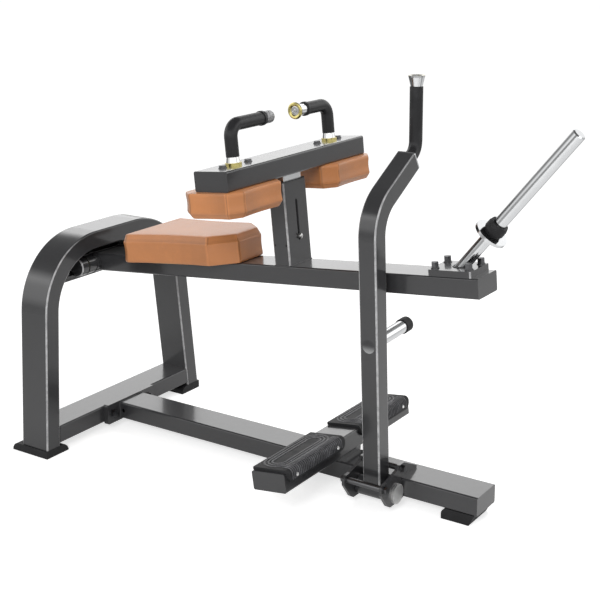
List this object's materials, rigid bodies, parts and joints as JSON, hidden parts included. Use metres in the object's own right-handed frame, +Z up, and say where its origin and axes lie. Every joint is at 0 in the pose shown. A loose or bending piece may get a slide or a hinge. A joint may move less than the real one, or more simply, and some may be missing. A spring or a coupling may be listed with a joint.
{
  "type": "seated calf raise machine",
  "caption": "Plate-loaded seated calf raise machine with a hinged seat lever, height-adjustable thigh pads, a ribbed footrest and a swing-aside hand catch",
  "frame": {"origin": "on the floor, midway along the machine's length and on its middle plane", "axes": "+X runs from the rear arch to the weight horn, -Y is the side of the catch, +Z is up"},
  "size_m": [1.5263, 0.6756, 1.0768],
  "materials": {
    "charcoal_paint": "satin powder coat",
    "black_rubber": "matt moulded",
    "zinc_steel": "zinc plated",
    "black_steel": "black oxide",
    "chromed_steel": "polished chrome",
    "pale_brass": "satin plated",
    "tan_leather": "grained upholstery",
    "birch_plywood": "raw plywood",
    "black_plastic": "fine texture"
  },
  "bodies": {
    "frame": {"rear_arch": "charcoal_paint", "rear_cross_tube": "charcoal_paint", "rear_feet": "black_rubber", "rear_flange_plate": "charcoal_paint", "base_flange_plate": "charcoal_paint", "flange_bolts": "black_steel", "base_tube": "charcoal_paint", "base_end_plate": "charcoal_paint", "front_foot": "black_rubber", "footrest_tube": "charcoal_paint", "footrest_end_plates": "charcoal_paint", "footrest_wedge": "charcoal_paint", "foot_pad_near": "black_rubber", "foot_pad_far": "black_rubber", "foot_pad_rivets": "zinc_steel", "pivot_shelf": "charcoal_paint", "bearing_blocks": "charcoal_paint", "bearing_bolts": "black_steel", "pivot_shaft": "zinc_steel", "catch_brackets": "charcoal_paint", "catch_shaft": "zinc_steel", "stop_spacers": "black_steel", "bracket_bolts": "black_steel"},
    "lever": {"lever_beam": "charcoal_paint", "lever_end_plate": "charcoal_paint", "lever_hub": "charcoal_paint", "hub_bushes": "pale_brass", "seat_pad": "tan_leather", "seat_board": "birch_plywood", "seat_bolts": "black_steel", "mast_sleeve": "charcoal_paint", "guide_liner": "black_plastic", "pin_barrel": "zinc_steel", "horn_base_plate": "charcoal_paint", "horn_top_plate": "charcoal_paint", "horn_bolts": "black_steel", "weight_horn": "chromed_steel", "horn_stop_disc": "chromed_steel", "horn_buffer": "black_rubber"},
    "carriage": {"inner_post": "chromed_steel", "cross_bar": "charcoal_paint", "cross_bar_end_plates": "charcoal_paint", "thigh_pad_near": "tan_leather", "thigh_pad_far": "tan_leather", "thigh_boards": "birch_plywood", "thigh_bolts": "black_steel", "handle_near": "chromed_steel", "handle_far": "chromed_steel", "handle_collars": "pale_brass", "handle_grips": "black_rubber", "handle_end_caps": "chromed_steel", "guide_bolt": "zinc_steel"},
    "pull_pin": {"adjust_pin": "black_plastic"},
    "catch": {"catch_post": "charcoal_paint", "catch_hub": "charcoal_paint", "catch_handle": "chromed_steel", "catch_grip": "black_rubber", "catch_grip_cap": "chromed_steel", "catch_peg": "chromed_steel", "catch_peg_cap": "black_rubber"}
  },
  "joints": [
    {"name": "lever_pivot", "type": "hinge", "parent": "frame", "child": "lever", "pos_m": [-0.67809, 0, 0.502], "axis": [0, -1, 0], "range_deg": [-5, 8]},
    {"name": "carriage_slide", "type": "slide", "parent": "lever", "child": "carriage", "axis": [-0.0872, 0, 0.9962], "range_m": [0, 0.09]},
    {"name": "pull_pin_slide", "type": "slide", "parent": "lever", "child": "pull_pin", "axis": [-0.9962, 0, -0.0872], "range_m": [0, 0.01], "stiffness_N_per_m": 600},
    {"name": "catch_swing", "type": "hinge", "parent": "frame", "child": "catch", "pos_m": [0.29091, -0.077, 0.049], "axis": [1, 0, 0], "range_deg": [0, 28]}
  ]
}
